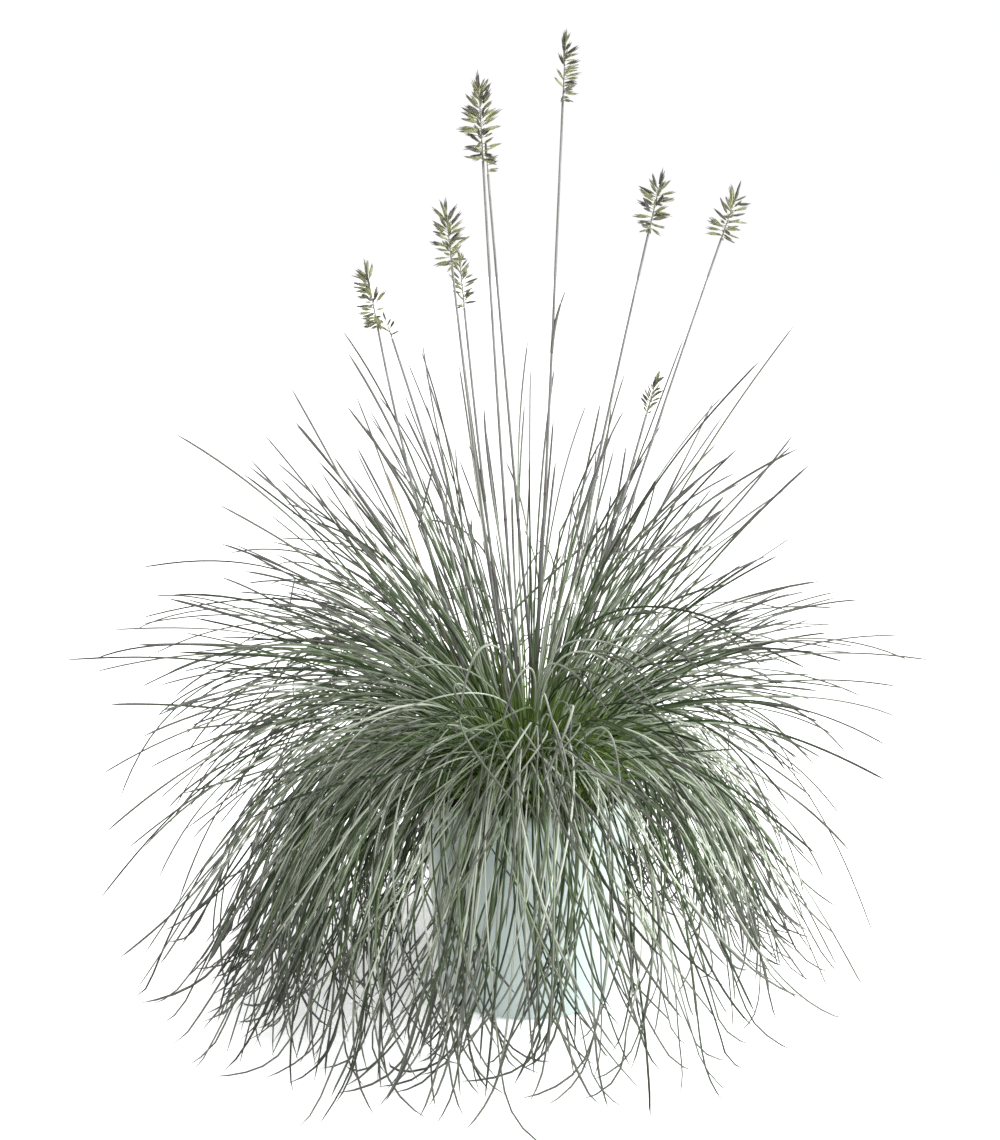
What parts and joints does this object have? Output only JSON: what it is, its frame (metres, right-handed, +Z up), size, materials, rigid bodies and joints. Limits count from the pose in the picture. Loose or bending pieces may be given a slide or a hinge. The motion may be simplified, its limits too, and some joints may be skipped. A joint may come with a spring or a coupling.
{
  "type": "potted ornamental grass clump",
  "caption": "Tufted ornamental grass with fine arching leaf blades and loose flower heads on slim stalks, in a smooth tapered round pot.",
  "frame": {"origin": "centre of the pot's flat base, on the surface it stands on", "axes": "+Z up along the pot's axis, -Y towards the front, +X to the right seen from the front"},
  "size_m": [0.5962, 0.6179, 0.6506],
  "materials": {
    "pot_glaze": "smooth pale celadon green glaze, satin gloss",
    "potting_soil": "dark moist crumbly peat and bark mix, matt",
    "leaf_sheaths": "packed yellow-green leaf bases with straw-coloured dry sheaths",
    "leaf_blades": "fine needle-like blades, green at the base and waxy blue-grey green towards the tips",
    "culm_stalks": "slim grey-green flowering stalks with dark nodes",
    "flower_heads": "loose green spikelets with pale papery edges"
  },
  "bodies": {
    "root": {"pot": "pot_glaze", "potting_soil": "potting_soil", "crown": "leaf_sheaths", "leaf_tuft_trailing_01": "leaf_blades", "leaf_tuft_trailing_02": "leaf_blades", "leaf_tuft_trailing_03": "leaf_blades", "leaf_tuft_trailing_04": "leaf_blades", "leaf_tuft_trailing_05": "leaf_blades", "leaf_tuft_trailing_06": "leaf_blades", "leaf_tuft_trailing_07": "leaf_blades", "leaf_tuft_trailing_08": "leaf_blades", "leaf_tuft_trailing_09": "leaf_blades", "leaf_tuft_trailing_10": "leaf_blades", "leaf_tuft_trailing_11": "leaf_blades", "leaf_tuft_trailing_12": "leaf_blades", "leaf_tuft_middle_01": "leaf_blades", "leaf_tuft_middle_02": "leaf_blades", "leaf_tuft_middle_03": "leaf_blades", "leaf_tuft_middle_04": "leaf_blades", "leaf_tuft_middle_05": "leaf_blades", "leaf_tuft_middle_06": "leaf_blades", "leaf_tuft_middle_07": "leaf_blades", "leaf_tuft_middle_08": "leaf_blades", "leaf_tuft_middle_09": "leaf_blades", "leaf_tuft_middle_10": "leaf_blades", "leaf_tuft_upper_01": "leaf_blades", "leaf_tuft_upper_02": "leaf_blades", "leaf_tuft_upper_03": "leaf_blades", "leaf_tuft_upper_04": "leaf_blades", "leaf_tuft_upper_05": "leaf_blades", "leaf_tuft_upper_06": "leaf_blades", "leaf_tuft_upper_07": "leaf_blades", "leaf_tuft_upper_08": "leaf_blades", "leaf_tuft_upper_09": "leaf_blades", "leaf_tuft_upright_01": "leaf_blades", "leaf_tuft_upright_02": "leaf_blades", "leaf_tuft_upright_03": "leaf_blades", "leaf_tuft_upright_04": "leaf_blades", "culm_01": "culm_stalks", "culm_02": "culm_stalks", "culm_03": "culm_stalks", "culm_04": "culm_stalks", "culm_05": "culm_stalks", "culm_06": "culm_stalks", "culm_07": "culm_stalks", "culm_08": "culm_stalks", "culm_09": "culm_stalks", "culm_10": "culm_stalks", "flower_head_01": "flower_heads", "flower_head_02": "flower_heads", "flower_head_03": "flower_heads", "flower_head_04": "flower_heads", "flower_head_05": "flower_heads", "flower_head_06": "flower_heads", "flower_head_07": "flower_heads", "flower_head_08": "flower_heads", "flower_head_09": "flower_heads", "flower_head_10": "flower_heads"}
  },
  "joints": []
}
